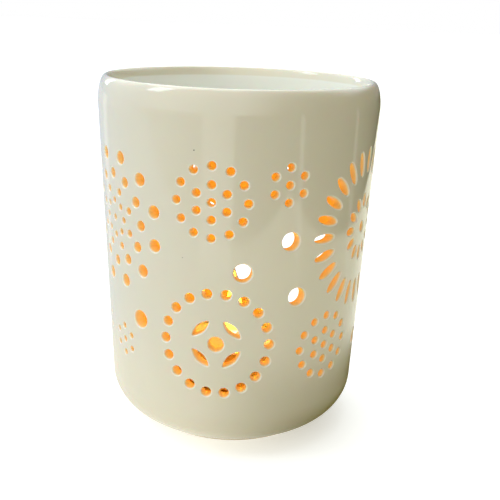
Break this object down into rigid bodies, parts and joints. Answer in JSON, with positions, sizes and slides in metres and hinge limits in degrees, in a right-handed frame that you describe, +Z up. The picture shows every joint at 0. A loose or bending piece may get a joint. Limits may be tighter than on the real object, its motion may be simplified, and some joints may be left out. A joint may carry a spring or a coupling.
{
  "type": "tealight holder",
  "caption": "Glazed ceramic tealight holder: a pierced, slightly flared cylinder with a shallow dish on top and a round opening at the back for the tealight.",
  "frame": {"origin": "centre of the foot's plane, on the holder's axis", "axes": "+Z up along the holder's axis; the main pierced wheel faces -Y; the tealight's opening is at the back, 25 degrees from +Y towards +X"},
  "size_m": [0.0912, 0.0912, 0.1157],
  "materials": {
    "ivory_glaze": "gloss",
    "aluminium_foil": "satin",
    "white_wax": "satin",
    "wick_cotton": "matte",
    "tinned_steel": "satin"
  },
  "bodies": {
    "holder": {"pierced_shell": "ivory_glaze", "dish": "ivory_glaze"},
    "tealight": {"tealight_cup": "aluminium_foil", "wax": "white_wax", "wick": "wick_cotton", "wick_sustainer": "tinned_steel"}
  },
  "joints": [
    {"name": "tealight_slide", "type": "slide", "parent": "holder", "child": "tealight", "axis": [0.3623, 0.7769, 0.515], "range_m": [0, 0.09]}
  ]
}
